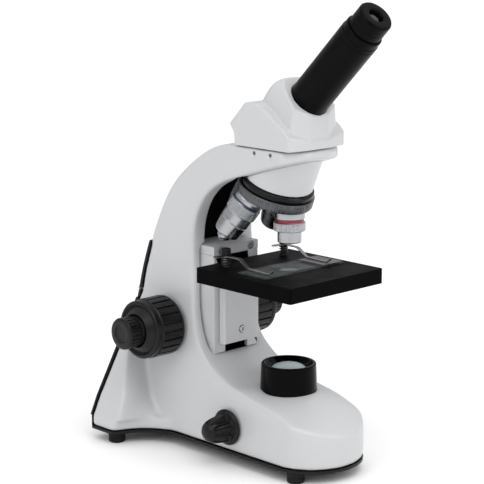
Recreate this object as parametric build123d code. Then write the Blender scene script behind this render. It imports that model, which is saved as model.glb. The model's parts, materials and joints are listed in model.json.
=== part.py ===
from build123d import *
import math
import os

# A monocular student microscope with a lifting stage, a revolving nosepiece, a turning head and a lamp in its base.
# Everything is drawn with the stage face at z = 0 and the optical axis at x = y = 0, and moved to the part's own
# frame when it is written: +Z up, feet on z = 0, the eyepiece side towards -Y, the arm towards +Y.

# ---- placing ----
STAGE_TOP = 137.5          # stage face above the bench
AXIS_Y = -26.35            # where the optical axis stands in the part's frame

# ---- casting ----
ARM_HALF = 29.5            # half width of the arm
TOP_HALF = 27.8            # half width at the head
BASE_HALF = 35.5           # half width of the foot's straight sides
REAR_HALF = 67.0           # half width across the rear fins
TOE_Y, TOE_RX, TOE_RY = -24.0, 35.5, 33.0   # the toe's plan is half an ellipse
REAR_Y = 136.0
FLOOR_Z = -127.8           # underside of the casting
DECK_Z = -84.0             # flat the lamp stands on
JOINT_Z = 84.0             # face the head turns on
CHANNEL_HALF = 21.5        # front channel of the arm, where the guide block sits
RECESS_HALF = 16.5         # the same channel above the guide block
CAP_TOP = 9.4              # top of the guide block's cap
COVER_T = 2.0
PLATE_T = 2.0
FOOT_R, FOOT_H = 6.0, 7.7

# ---- head and viewing tube ----
PUPIL_Z = 99.4             # where the tube's axis meets the optical axis
TUBE_TILT = 45.0           # tube's axis above the horizontal
TUBE_R, TUBE_BORE = 13.6, 11.65
TUBE_FROM, TUBE_TO = 17.0, 93.0
BARREL_R = 11.6            # standard 23.2 mm eyepiece

# ---- nosepiece ----
APEX_Z = 85.4              # all the objectives' axes meet here
LEAN = 20.5                # nosepiece axis from the vertical
SEAT = 47.0                # apex to an objective's shoulder
RACE_AT = 28.6
GRIP_R = 26.5

# ---- stage ----
STAGE_HALF, STAGE_T = 45.0, 10.5
SLIDE_L, SLIDE_W, SLIDE_H = 76.0, 26.0, 1.1
POST_X, POST_Y = 28.0, 33.0

# ---- focus drive ----
KNOB_Y, KNOB_Z = 90.0, -50.0
COARSE_R, COARSE_IN, COARSE_OUT = 21.2, 32.9, 58.6
FINE_R, FINE_OUT = 11.3, 74.6
MODULE, TEETH = 0.6, 16
PITCH_R = MODULE * TEETH / 2
RACK_Y = KNOB_Y - PITCH_R

# ---- lamp ----
LAMP_R, LAMP_TOP = 19.0, -66.3
DIMMER_Y, DIMMER_Z = 23.4, -110.4


def block(x0, x1, y0, y1, z0, z1):
    return Pos((x0 + x1) / 2, (y0 + y1) / 2, (z0 + z1) / 2) * Box(x1 - x0, y1 - y0, z1 - z0)


def rod(x, y, z, r, length, axis="Z"):
    """Cylinder that starts at (x, y, z) and runs along +axis."""
    turn = {"X": Rot(0, 90, 0), "Y": Rot(-90, 0, 0), "Z": Rot(0, 0, 0)}[axis]
    return Pos(x, y, z) * turn * Pos(0, 0, length / 2) * Cylinder(r, length)


def tube(x, y, z, r, bore, length, axis="Z"):
    return rod(x, y, z, r, length, axis) - rod(x, y, z, bore, length, axis)


def lathe(*points):
    """Solid of revolution about Z from (radius, height) points."""
    return revolve(Plane.XZ * Polygon(*points, align=None), Axis.Z)


def along_x(face_edges, half):
    """A closed (y, z) outline carried across the width, both ways."""
    return extrude(Plane.YZ * make_face(face_edges), amount=half, both=True)


def side_polygon(points, half):
    return extrude(Plane.YZ * Polygon(*points, align=None), amount=half, both=True)


def rise(face, z0, z1):
    """A plan outline carried straight up from z0 to z1."""
    return extrude(Plane.XY.offset(z0) * face, amount=z1 - z0, dir=(0, 0, 1))


def both_sides(solid):
    return solid + mirror(solid, Plane.YZ)


def on_axis(direction, x_dir=(1, 0, 0), origin=(0, 0, 0)):
    return Plane(origin=origin, x_dir=x_dir, z_dir=direction).location


LEAN_S, LEAN_C = math.sin(math.radians(LEAN)), math.cos(math.radians(LEAN))
TURRET = on_axis((0, LEAN_S, -LEAN_C), origin=(0, 0, APEX_Z))


def objective_axis(turn):
    """Direction of an objective after the nosepiece's 120 degree steps."""
    c, s = math.cos(math.radians(turn)), math.sin(math.radians(turn))
    x = -LEAN_S * s
    y = LEAN_S * LEAN_C * (1 - c)
    z = -LEAN_C * LEAN_C - LEAN_S * LEAN_S * c
    return (x, y, z)


def objective_place(turn):
    return on_axis(objective_axis(turn), origin=(0, 0, APEX_Z))


TILT_S, TILT_C = math.sin(math.radians(TUBE_TILT)), math.cos(math.radians(TUBE_TILT))
TUBE = on_axis((0, -TILT_C, TILT_S), origin=(0, 0, PUPIL_Z))


# ------------------------------------------------------------------ casting
def ridge_edges():
    """Side outline of the whole casting, toe at the left, as (y, z) edges."""
    rear = [(34.6, 84.0), (48.5, 80.3), (61.6, 73.0), (75.0, 63.2), (87.6, 50.2), (99.5, 31.6),
            (110.7, 7.3), (118.4, -14.0), (124.5, -38.0)]
    sweep = [(-58.0, -107.0), (-47.0, -103.0), (-33.0, -98.0), (1.4, -88.8), (22.4, -83.1), (44.0, -73.2),
             (56.5, -61.0), (62.0, -47.0), (64.5, -26.0)]
    throat = [(64.5, 10.0), (63.6, 24.8), (60.4, 34.4), (55.3, 43.2), (49.2, 49.8), (40.2, 55.8), (29.4, 60.0)]
    return [
        Polyline((29.4, 60.0), (-28.0, 77.6), (-28.0, JOINT_Z), rear[0]),
        Spline(*rear),
        Polyline(rear[-1], (135.2, -117.0), (REAR_Y, FLOOR_Z), (-58.0, FLOOR_Z), sweep[0]),
        Spline(*sweep),
        Line(sweep[-1], throat[0]),
        Spline(*throat),
    ]


def plan(grow=0.0):
    """Plan of the foot: a rounded toe, straight sides, two hollow flanks and a broad rear."""
    w, r = BASE_HALF + grow, REAR_HALF + grow
    y1, y2 = 80.0, 108.5 - grow
    front = EllipticalCenterArc((0, TOE_Y), TOE_RX + grow, TOE_RY + grow, start_angle=180, arc_size=180)
    right = [
        Line((w, TOE_Y), (w, y1)),
        ThreePointArc((w, y1), (w + 13.5, 101.0 - grow), (r - 3.0, y2)),
        ThreePointArc((r - 3.0, y2), (r - 0.9, y2 + 1.6), (r, y2 + 4.5)),
        Line((r, y2 + 4.5), (r, REAR_Y - 4.0)),
        ThreePointArc((r, REAR_Y - 4.0), (r - 1.2, REAR_Y - 1.2), (r - 4.0, REAR_Y)),
        Line((r - 4.0, REAR_Y), (0, REAR_Y)),
    ]
    left = [edge.mirror(Plane.YZ) for edge in right]
    return make_face([front] + right + left)


def deck_crown():
    """The toe's deck, arched from side to side, lofted along its length."""
    stations = [(-62.0, -109.5, -111.5), (-50.0, -101.0, -105.5), (-40.0, -95.0, -101.5), (-30.0, -89.2, -98.0),
                (-20.0, -85.4, -94.6), (-10.0, -84.0, -91.8), (6.0, -84.0, -87.8), (22.0, -83.3, -83.3)]
    sections = []
    for y, middle, edge in stations:
        outline = [
            Polyline((-36.5, edge), (-36.5, FLOOR_Z), (36.5, FLOOR_Z), (36.5, edge)),
            ThreePointArc((36.5, edge), (0, middle + 0.001), (-36.5, edge)),
        ]
        sections.append(Plane(origin=(0, y, 0), x_dir=(1, 0, 0), z_dir=(0, -1, 0)) * make_face(outline))
    return loft(sections)


def fin():
    """Buttress on the left of the foot: a flat outer face and a hollow front."""
    rows = [(FLOOR_Z + 8.0, 66.6, 104.5, 135.2, 86.0, 98.5), (-106.0, 61.9, 104.4, 133.6, 107.5, 103.4),
            (-91.0, 55.2, 110.0, 131.8, 111.2, 108.6), (-73.0, 47.3, 117.0, 129.5, 115.4, 114.6),
            (-36.5, 31.2, 122.6, 124.2, 120.5, 121.2)]
    sections = []
    for z, out, front, rear, root, hollow in rows:
        inner = 27.0
        mid = (-(out + inner + 4.0) / 2, hollow)
        outline = [
            ThreePointArc((-inner, root), mid, (-out, front)),
            Polyline((-out, front), (-out, rear), (-inner, rear), (-inner, root)),
        ]
        sections.append(Plane.XY.offset(z) * make_face(outline))
    return loft(sections, ruled=True)


def casting_outer():
    body = along_x(ridge_edges(), 38.0) + deck_crown()
    draft = [(-TOP_HALF, 90.0), (-TOP_HALF, 78.0), (-ARM_HALF, 40.0), (-ARM_HALF, -30.0), (-BASE_HALF, FLOOR_Z),
             (BASE_HALF, FLOOR_Z), (ARM_HALF, -30.0), (ARM_HALF, 40.0), (TOP_HALF, 78.0), (TOP_HALF, 90.0)]
    body &= extrude(Plane.XZ * Polygon(*draft, align=None), amount=200.0, both=True)
    body &= rise(plan(), FLOOR_Z, 95.0)
    skirt = rise(plan(), FLOOR_Z, FLOOR_Z + 9.0)
    skirt -= block(-90, 90, -90, 84, FLOOR_Z, 0)
    body += skirt + both_sides(fin())
    # the plate under the head is cut to a blunt point at its front corners
    for side in (-1, 1):
        corner = Polygon((side * 30, -18.0), (side * 9, -28.4), (side * 9, -31), (side * 30, -31), align=None)
        body -= rise(corner, 55.0, 90.0)
    return body


def rear_band(outer):
    """The strip of the casting's back that the black cover takes up."""
    inner = [(108.8, 7.3), (116.3, -14.0), (122.4, -38.0), (133.1, -117.0), (133.9, FLOOR_Z), (150.0, FLOOR_Z),
             (150.0, 7.3)]
    band = outer & side_polygon(inner, 80.0)
    return band.solids().sort_by(SortBy.VOLUME)[-1]


def channel_cut():
    back = [(82.0, 12.0), (80.6, 26.0), (76.3, 40.0), (68.5, 52.0), (58.0, 61.0), (46.0, 67.0), (34.0, 70.0)]
    cut = along_x([Polyline(back[-1], (16.0, 70.0), (16.0, 40.0), (44.0, 20.0), (44.0, -67.3), (82.0, -67.3),
                            back[0]), Spline(*back)], CHANNEL_HALF)
    return cut - both_sides(block(RECESS_HALF, 40, 0, 100, CAP_TOP, 100))


PLATE_SCREWS = [(-21, -33), (21, -33), (-25.5, 62), (25.5, 62), (-46, 119), (46, 119)]


def base_cavity():
    low = rise(make_face([
        EllipticalCenterArc((0, -20), 30.5, 27.0, start_angle=180, arc_size=180),
        Polyline((30.5, -20), (30.5, 126.0), (-30.5, 126.0), (-30.5, -20)),
    ]), FLOOR_Z - 1, FLOOR_Z + 17.8)
    high = block(-27.5, 27.5, -14, 87, -110.5, -94)
    rear = block(-24.5, 24.5, 86, 150, FLOOR_Z - 1, -2)
    link = block(-20, 20, 81, 87, -66, -30)
    return low + high + rear + link


def stand_casting(outer, band):
    body = outer - band - channel_cut() - base_cavity()
    bosses = []
    for x, y in PLATE_SCREWS:
        body += rod(x, y, FLOOR_Z, 4.0, 19.0)
    for x, y in PLATE_SCREWS:
        body -= rod(x, y, FLOOR_Z - 0.1, 1.25, 12.0)
    body -= TURRET * Pos(0, 0, 26.7) * Pos(0, 0, 16) * Cylinder(28.4, 32)
    body -= rod(0, 0, 55, 13.0, 30)
    body -= rod(0, 0, 78.6, 21.4, 6)
    body -= rod(0, 0, -96, 16.6, 20)
    for y in (-7.5, 7.5):
        body -= rod(-29, y, 81, 2.05, 8.0, "X")
    body -= rod(-37, KNOB_Y, KNOB_Z, 6.0, 74, "X")
    body -= rod(-37, DIMMER_Y, DIMMER_Z, 3.6, 10, "X")
    for x, y, z in COVER_SCREWS:
        body -= rod(x, y - 9, z, 1.35, 12, "Y")
        body -= rod(x, y - 1.3, z, 2.85, 6, "Y")
    return body


def base_plate():
    plate = rise(plan(), FLOOR_Z - PLATE_T, FLOOR_Z)
    for x, y in PLATE_SCREWS:
        plate -= rod(x, y, FLOOR_Z - 3, 1.7, 4)
        plate -= Pos(x, y, FLOOR_Z - 1.2) * Cylinder(3.0, 1.7)
    for k in range(8):
        plate -= block(-14, 14, 14 + 6 * k, 17 + 6 * k, FLOOR_Z - 3, FLOOR_Z)
    return plate


def back_cover(band):
    cover = band - rod(18, 120, -112, 5.5, 20, "Y")
    for x, y, z in COVER_SCREWS:
        cover -= rod(x, y - 6, z, 2.85, 12, "Y")
    return cover


COVER_SCREWS = [(-26.8, 123.0, -30.0), (26.8, 123.0, -30.0), (-46.0, 134.6, -113.0), (46.0, 134.6, -113.0)]
FEET = [(-27.5, -34.0), (27.5, -34.0), (-58.0, 116.0), (58.0, 116.0)]


def feet():
    top = FLOOR_Z - PLATE_T
    shape = lathe((0, top), (FOOT_R, top), (FOOT_R, top - FOOT_H + 1), (FOOT_R - 1, top - FOOT_H), (0, top - FOOT_H))
    return Compound([Pos(x, y, 0) * shape for x, y in FEET])


def countersunk(r, length):
    """A countersunk screw, head up at z = 0, with a cross recess."""
    screw = lathe((0, 0), (r * 2.2, 0), (r * 2.2, -0.4), (r, -1.5), (r, -length), (0, -length))
    for turn in (0, 90):
        screw -= Rot(0, 0, turn) * Box(r * 2.4, r * 0.5, 1.2)
    return screw


def base_screws():
    place = [Pos(x, y, FLOOR_Z - 1.95) * Rot(180, 0, 0) for x, y in PLATE_SCREWS]
    return Compound([at * countersunk(1.2, 10) for at in place])


def cover_screws():
    head = lathe((0, 0.9), (1.8, 0.9), (2.8, 0.2), (2.8, -1.2), (1.3, -1.2), (1.3, -8.0), (0, -8.0))
    return Compound([Pos(x, y, z) * Rot(-90, 0, 0) * head for x, y, z in COVER_SCREWS])


def arm_liner():
    """Dark sheet lining the back and roof of the arm's channel."""
    back = [(82.0, -28.0), (82.0, 12.0), (80.6, 26.0), (76.3, 40.0), (68.5, 52.0), (58.0, 61.0), (46.0, 67.0)]
    front = [(y - 1.6 if y > 60 else y - 0.9, z - (0.0 if z < 30 else 1.4)) for y, z in back]
    outer = [Line(back[0], back[1]), Spline(*back[1:])]
    inner = [Line(front[0], front[1]), Spline(*front[1:])]
    ends = [Line(back[0], front[0]), Line(back[-1], front[-1])]
    sheet = along_x(outer + inner + ends, CHANNEL_HALF - 0.2)
    return sheet - both_sides(block(RECESS_HALF - 0.2, 40, 0, 100, CAP_TOP - 0.3, 100))


# ------------------------------------------------------------------ guide for the stage
BLOCK_HALF, BLOCK_FRONT, BLOCK_BACK = 21.3, 52.0, 79.5
SLOT_HALF = 10.6


def guide_block():
    body = block(-BLOCK_HALF, BLOCK_HALF, BLOCK_FRONT, BLOCK_BACK, -67.2, 3.2)
    body -= block(-17.4, 17.4, BLOCK_FRONT + 3.2, BLOCK_BACK + 1, -70, 5)
    body -= block(-SLOT_HALF, SLOT_HALF, BLOCK_FRONT - 1, BLOCK_FRONT + 4, -70, 2.2 - 0.0)
    return body


def guide_cap():
    body = block(-BLOCK_HALF, BLOCK_HALF, BLOCK_FRONT, BLOCK_BACK, 3.3, 9.3)
    for x in (-14.2, 14.2):
        body -= rod(x, BLOCK_FRONT - 1, 6.2, 3.0, 2.6, "Y")
        body -= rod(x, BLOCK_FRONT - 1, 6.2, 1.55, 9, "Y")
    return body


def guide_screws():
    head = lathe((0, 0), (2.7, 0), (2.9, -0.4), (2.9, -1.5), (1.5, -1.5), (1.5, -7.5), (0, -7.5))
    head -= Pos(0, 0, -0.2) * Cylinder(1.3, 1.6)
    return Compound([Pos(x, BLOCK_FRONT + 0.1, 6.2) * Rot(90, 0, 0) * head for x in (-14.2, 14.2)])


def slide_rails():
    return Compound([block(s * 15.7 - 1.6, s * 15.7 + 1.6, 63, 69, -66.5, 2.6) for s in (-1, 1)])


def carriage():
    body = block(-17.0, 17.0, 57.0, 76.5, -57.0, -10.0)
    for s in (-1, 1):
        body -= block(s * 15.8 - 1.85, s * 15.8 + 1.85, 62.9, 69.1, -60, 0)
    body += block(-9.8, 9.8, 51.9, 57.0, -54.0, -14.0)
    return body - block(-6.5, 6.5, 70.0, 77, -60, 0)


def rack():
    body = block(-5.0, 5.0, 70.0, RACK_Y - 0.75, -57.0, -38.0)
    pitch = math.pi * MODULE
    face = RACK_Y - 0.75
    first = KNOB_Z + pitch / 2
    for k in range(-4, 6):
        z = first + k * pitch
        if -56.4 < z < -38.6:
            tooth = [(face, z - 0.58), (RACK_Y + 0.55, z - 0.18), (RACK_Y + 0.55, z + 0.18), (face, z + 0.58)]
            body += side_polygon(tooth, 5.0)
    return body


# ------------------------------------------------------------------ focus drive
def pinion():
    root = PITCH_R - 0.8
    body = rod(-5, KNOB_Y, KNOB_Z, root, 10, "X")
    for k in range(TEETH):
        turn = 360.0 / TEETH * k
        tooth = side_polygon([(root - 0.5, -0.52), (PITCH_R, -0.34), (PITCH_R + 0.5, -0.16),
                              (PITCH_R + 0.5, 0.16), (PITCH_R, 0.34), (root - 0.5, 0.52)], 5.0)
        body += Pos(0, KNOB_Y, KNOB_Z) * Rot(turn, 0, 0) * tooth
    return body - rod(-6, KNOB_Y, KNOB_Z, 3.4, 12, "X")


def coarse_shaft():
    return tube(-56.3, KNOB_Y, KNOB_Z, 3.4, 2.05, 112.6, "X")


def knob_bushes():
    left = rod(-32.4, KNOB_Y, KNOB_Z, 6.0, 12.2, "X") - rod(-33, KNOB_Y, KNOB_Z, 3.45, 14, "X")
    return Compound([left, mirror(left, Plane.YZ)])


def coarse_knob():
    """Left coarse knob, drawn along +Z from its inner face."""
    length = COARSE_OUT - COARSE_IN
    body = lathe((3.4, 0), (18.5, 0), (COARSE_R, 1.6), (COARSE_R, length - 5.6), (COARSE_R - 0.9, length - 5.2),
                 (COARSE_R - 0.9, length - 4.4), (COARSE_R - 0.2, length - 4.0), (COARSE_R - 0.6, length - 0.8),
                 (COARSE_R - 1.8, length), (18.2, length), (18.2, length - 1.6), (12.0, length + 3.6),
                 (12.0, length - 2.0), (3.4, length - 2.0))
    for k in range(22):
        flute = Pos(COARSE_R + 0.9, 0, (length - 6) / 2) * Box(3.0, 2.2, length - 8)
        body -= Rot(0, 0, 360 / 22 * k) * flute
    return body


def fine_knob():
    start = COARSE_OUT - COARSE_IN - 1.6
    end = FINE_OUT - COARSE_IN
    body = lathe((0, start), (10.9, start), (10.4, start + 5.0), (10.4, start + 6.2), (FINE_R, end - 1.2),
                 (FINE_R - 1.0, end), (6.0, end), (5.0, end - 0.9), (0, end - 1.5))
    body -= rod(0, 0, start - 1, 2.0, 7)
    for k in range(24):
        groove = Pos(FINE_R + 0.35, 0, end - 5.2) * Box(1.8, 1.0, 7.6)
        body -= Rot(0, 0, 15 * k) * groove
    return body


def knob_place(side):
    return Pos(side * COARSE_IN, KNOB_Y, KNOB_Z) * Rot(0, 90 * side, 0)


def fine_shaft():
    reach = COARSE_OUT - 1.6 + 6.0
    return rod(-reach, KNOB_Y, KNOB_Z, 2.0, 2 * reach, "X")


# ------------------------------------------------------------------ stage
def stage_plate():
    h = STAGE_HALF
    body = block(-h, h, -h, h, -STAGE_T, 0)
    body = fillet(body.edges().filter_by(Axis.Z), 1.4)
    body -= block(-h + 3, h - 3, -h + 3, h - 3, -STAGE_T - 1, -4.6)
    body -= block(-17.3, 17.3, 40, 46, -STAGE_T - 1, -4.6)
    body -= rod(0, 0, -6, 9.0, 8)
    for x, y in ((-POST_X, POST_Y), (POST_X, POST_Y)):
        body -= rod(x, y, -5, 2.0, 6)
    return body


def stage_bracket():
    body = block(-17, 17, 46.2, 51.5, -60, -4.7)
    body = chamfer(body.edges().filter_by(Axis.Z).sort_by(Axis.Y)[:2], 1.0)
    body += block(-17, 17, 22, 46.5, -9.6, -4.7)
    body -= rod(0, 24, -12, 11.5, 9)
    body -= rod(0, 45, -51.5, 2.9, 2.6, "Y")
    body -= rod(0, 45, -51.5, 1.55, 8, "Y")
    return body


def bracket_screw():
    screw = lathe((0, 0.6), (2.2, 0.6), (2.7, 0.1), (2.7, -1.1), (1.5, -1.1), (1.5, -4.0), (0, -4.0))
    return Pos(0, 46.4, -51.5) * Rot(90, 0, 0) * (screw - Pos(0, 0, 0.4) * Cylinder(1.2, 1.6))


def condenser_ring():
    return lathe((6.6, -6.4), (9.0, -6.4), (9.0, -0.4), (8.2, -0.4), (8.2, -3.0), (6.6, -3.0))


def dome(r, base, edge, top):
    """Lens with a flat underside: its curved face rises from the edge height to the top."""
    rise_by, steps = top - edge, 8
    arc = [(r * math.sin(math.pi / 2 * k / steps), edge + rise_by * math.cos(math.pi / 2 * k / steps))
           for k in range(steps + 1)]
    return lathe(*arc, (r, base), (0, base))


def condenser_lens():
    return dome(8.1, -2.9, -2.2, -0.7)


STRIP_Z = 7.9              # top face of a clip's flat part


def clip_posts():
    z = STRIP_Z - 0.58
    post = lathe((0, -4.5), (2.0, -4.5), (2.0, z), (1.5, z), (1.5, z + 1.1), (0, z + 1.1))
    return Compound([Pos(s * POST_X, POST_Y, 0) * post for s in (-1, 1)])


def clip_springs():
    """Three open turns of wire round each post, drawn as rings."""
    solids = []
    for s in (-1, 1):
        for k in range(4):
            solids.append(Pos(s * POST_X, POST_Y, 0.8 + 1.7 * k) * Torus(2.75, 0.42))
    return Compound(solids)


def clip_strip():
    """One spring-steel clip, drawn about its post at the origin."""
    z = STRIP_Z
    top = [(3.4, z), (-10.5, z), (-12.5, z - 0.5), (-20.5, 3.0), (-22.5, 2.35), (-43.5, 2.35), (-46.0, 2.9),
           (-48.5, 5.2)]
    low = [(y - 0.1, h - 0.55) for y, h in top]
    arm = extrude(Plane.YZ * Polygon(*top, *reversed(low), align=None), amount=2.3, both=True)
    arm &= block(-2.3, 2.3, -60, 3.2, 0, 10)
    arm = Rot(0, 0, -3.5) * arm
    tail = block(-11.0, 1.0, -2.2, 2.6, z - 0.55, z)
    eye = rod(0, 0, z - 0.55, 3.4, 0.55)
    return arm + tail + eye - rod(0, 0, z - 1, 1.55, 2)


def clip_knob():
    z = STRIP_Z
    body = lathe((0, z + 0.8), (1.7, z + 0.8), (1.7, z), (3.4, z), (3.4, z + 4.4), (2.9, z + 5.0), (0, z + 5.0))
    for k in range(12):
        body -= Rot(0, 0, 30 * k) * Pos(3.7, 0, z + 2.4) * Cylinder(0.55, 3.4)
    return body


def clip_screw():
    z = STRIP_Z
    return lathe((0, z + 0.8), (1.7, z + 0.8), (1.7, z), (2.5, z), (2.5, z + 1.0), (1.8, z + 1.5), (0, z + 1.5))


def glass_slide():
    return Pos(0, -2.3, 0.3 + SLIDE_H / 2) * Box(SLIDE_L, SLIDE_W, SLIDE_H)


def cover_slip():
    return Pos(0, -2.3, 0.3 + SLIDE_H + 0.1) * Box(22, 22, 0.17)


DISC_X, DISC_Y, DISC_R = 13.0, -13.0, 25.5


def diaphragm_disc():
    body = rod(DISC_X, DISC_Y, -8.4, DISC_R, 1.2) - rod(DISC_X, DISC_Y, -9, 2.05, 3)
    reach = math.hypot(DISC_X, DISC_Y)
    for k, r in enumerate((6.0, 5.0, 4.0, 2.8, 1.6)):
        turn = math.radians(135 + 72 * k)
        body -= rod(DISC_X + reach * math.cos(turn), DISC_Y + reach * math.sin(turn), -9, r, 3)
    for k in range(36):
        turn = math.radians(10 * k)
        body -= rod(DISC_X + DISC_R * math.cos(turn), DISC_Y + DISC_R * math.sin(turn), -9, 0.8, 3)
    return body


def diaphragm_pin():
    pin = lathe((0, -9.6), (3.4, -9.6), (3.4, -8.7), (2.0, -8.7), (2.0, -6.9), (2.6, -6.9), (2.6, -4.6), (0, -4.6))
    return Pos(DISC_X, DISC_Y, 0) * pin


# ------------------------------------------------------------------ nosepiece
def nosepiece_mount(outer):
    """Tapered bowl between the arm and the leaning nosepiece."""
    upper = Plane.XY.offset(78.5) * Pos(0, 3.5) * Circle(26.2)
    lower = TURRET * Pos(0, 0, RACE_AT - 0.3) * Circle(23.6)
    body = loft([upper, lower])
    body -= outer
    body -= rod(0, 0, 40, 10.5, 42)
    body -= TURRET * Pos(0, 0, 25) * Cylinder(4.06, 50)
    return (body & block(-40, 40, -40, 60, 30, 78.4)).solids().sort_by(SortBy.VOLUME)[-1]


def turret_pivot():
    pin = lathe((0, 22.0), (4.05, 22.0), (4.05, 48.4), (6.2, 48.4), (6.2, 49.6), (5.2, 50.4), (0, 50.4))
    return TURRET * pin


def turret_race():
    return TURRET * lathe((20.6, RACE_AT), (24.2, RACE_AT), (25.2, RACE_AT + 1.0), (25.2, 33.1), (24.4, 33.6),
                          (20.6, 33.6))


def turret_body():
    body = lathe((4.1, 43.0), (7.0, 43.0), (22.0, 36.8), (22.0, 33.6), (25.6, 33.6), (GRIP_R, 34.3),
                 (GRIP_R, 39.8), (25.8, 40.5), (5.2, 48.1), (4.1, 48.1))
    body = TURRET * body
    for turn in (0, 120, 240):
        body -= objective_place(turn) * Pos(0, 0, 35) * Pos(0, 0, 8) * Cylinder(10.2, 16)
    return body


def objective(points, bore=3.0):
    """Barrel from (distance from the apex, radius) pairs, with the optical way bored through."""
    start, end = points[0][0], points[-1][0]
    outline = [(bore, start)] + [(r, t) for t, r in points] + [(bore, end)]
    return lathe(*outline)


def objective_4x():
    return objective([(42, 10.15), (SEAT, 10.15), (SEAT, 10.4), (50.7, 10.4), (50.9, 9.8), (53.0, 9.8), (53.2, 10.9),
                      (59.1, 10.9), (59.4, 8.2), (67.0, 8.2), (67.4, 7.8), (67.5, 5.4), (68.0, 5.0)], 3.6)


def objective_10x():
    return objective([(42, 10.15), (SEAT, 10.15), (SEAT, 10.6), (50.5, 10.6), (50.7, 9.9), (52.0, 9.9), (52.3, 11.0),
                      (59.0, 11.0), (59.3, 10.4), (73.4, 10.2), (74.8, 8.8), (75.0, 6.5), (77.8, 5.4)], 2.6)


def objective_40x():
    return objective([(42, 10.15), (SEAT, 10.15), (SEAT, 10.6), (50.0, 10.6), (50.2, 10.1), (51.4, 10.1), (51.7, 11.1),
                      (59.6, 11.1), (60.0, 10.4), (66.0, 10.4), (66.2, 10.0), (66.8, 10.0), (67.0, 10.4),
                      (76.0, 9.0), (77.6, 7.8)], 5.05)


def objective_tip():
    """Sprung nose of the longest objective."""
    return lathe((1.4, 70.0), (5.0, 70.0), (5.0, 80.0), (4.2, 81.2), (2.4, 82.9), (1.4, 82.9))


def objective_lenses():
    lens = [(0, 3.6, 66.4, 67.6), (1, 2.6, 74.6, 75.7)]
    solids = []
    for k, r, t0, t1 in lens:
        solids.append(objective_place((0, 240)[k]) * Pos(0, 0, (t0 + t1) / 2) * Cylinder(r, t1 - t0))
    return Compound(solids)


def tip_lens():
    return Pos(0, 0, 82.0) * Cylinder(1.4, 1.4)


# ------------------------------------------------------------------ head
def head_outer():
    side = [(-28.0, 84.4), (-28.0, 90.5), (-21.0, 97.4), (-13.5, 102.0), (-7.0, 106.8), (0.5, 111.6),
            (6.0, 113.8), (16.0, 114.2), (30.9, 98.5), (26.8, 93.2), (26.0, 84.4)]
    body = side_polygon(side, 27.0)
    prow = Polygon((27.0, -24.4), (9.6, -28.0), (-9.6, -28.0), (-27.0, -24.4), (-27.0, 31.5), (27.0, 31.5),
                   align=None)
    body &= rise(prow, 84.4, 144.0)
    # the hood that carries the tube: stacked rounded outlines, cut square to the tube's axis
    rows = [(84.4, 46.0, -30.0, 20.0, 6.0), (104.0, 42.0, -33.0, 17.0, 9.0), (117.0, 37.0, -38.0, 13.5, 13.0),
            (125.0, 31.0, -40.0, 9.5, 13.5), (130.0, 17.0, -42.0, -1.5, 8.2)]
    outlines = []
    for z, width, front, rear, r in rows:
        outlines.append(Plane.XY.offset(z) * Pos(0, (front + rear) / 2) * RectangleRounded(width, rear - front, r))
    hood = loft(outlines)
    hood -= TUBE * Pos(0, 0, 25.0 + 40) * Box(120, 120, 80)
    hood += TUBE * Pos(0, 0, 12.2) * Cylinder(17.4, 24.4)
    front = Polygon((27.0, -19.5), (8.5, -27.2), (-8.5, -27.2), (-27.0, -19.5), (-27.0, 32.0), (27.0, 32.0),
                    align=None)
    return body + (hood & rise(front, 84.4, 140.0))


def head_housing():
    body = head_outer()
    body -= rod(0, 0, 84, 13.0, 14)
    body -= TUBE * Pos(0, 0, 0) * Pos(0, 0, 24) * Cylinder(TUBE_R, 40)
    body -= block(-11.2, 11.2, -11.2, 11.2, 97, 111)
    return body


def head_dovetail():
    return lathe((12.6, 79.0), (20.9, 79.0), (19.4, 84.3), (12.6, 84.3))


def arm_screws():
    screw = rod(0, 0, 0, 2.0, 4.4) - rod(0, 0, 3.0, 1.0, 2.0)
    return Compound([Pos(-21.9, y, 81) * Rot(0, -90, 0) * screw for y in (-7.5, 7.5)])


def prism():
    p = 10.8
    wedge = side_polygon([(-p, PUPIL_Z - 1.5), (-p, PUPIL_Z + p), (p, PUPIL_Z + p), (p, PUPIL_Z + p - 2.0),
                          (2.5, PUPIL_Z - 1.5)], p)
    return wedge - TUBE * Pos(0, 0, 10.5) * Pos(0, 0, 10) * Cylinder(30, 20)


def viewing_tube():
    body = lathe((TUBE_BORE, TUBE_FROM), (TUBE_R, TUBE_FROM), (TUBE_R, 84.2), (TUBE_R - 0.35, 84.5),
                 (TUBE_R - 0.35, 85.1), (TUBE_R, 85.4), (TUBE_R - 0.1, 87.6), (TUBE_R - 0.45, 87.9),
                 (TUBE_R - 0.45, TUBE_TO - 0.6), (TUBE_R - 1.0, TUBE_TO), (TUBE_BORE, TUBE_TO))
    return TUBE * body


def eyepiece_barrel():
    return TUBE * lathe((10.4, 64.0), (BARREL_R, 64.0), (BARREL_R, TUBE_TO + 0.3), (11.9, TUBE_TO + 0.3),
                        (11.9, 105.4), (11.2, 106.6), (5.2, 106.6), (4.6, 105.6), (4.6, 103.5), (7.05, 103.5),
                        (7.05, 100.9), (10.4, 100.9))


def eyepiece_lenses():
    eye = Pos(0, 0, 102.2) * Cylinder(7.0, 2.4)
    field = Pos(0, 0, 67.0) * Cylinder(10.35, 3.0)
    return Compound([TUBE * eye, TUBE * field])


# ------------------------------------------------------------------ lamp and electrics
def lamp_housing(outer):
    body = lathe((12.2, -72.5), (12.2, -69.8), (16.6, LAMP_TOP), (LAMP_R - 0.6, LAMP_TOP), (LAMP_R, LAMP_TOP - 0.6),
                 (LAMP_R + 0.9, -89.5), (16.5, -89.5), (16.5, -90.5), (13.6, -90.5), (13.6, -72.5))
    return body - (outer - rod(0, 0, -96, 16.6, 20))


def lamp_lens():
    return dome(12.1, -72.4, -70.6, -67.0)


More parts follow.
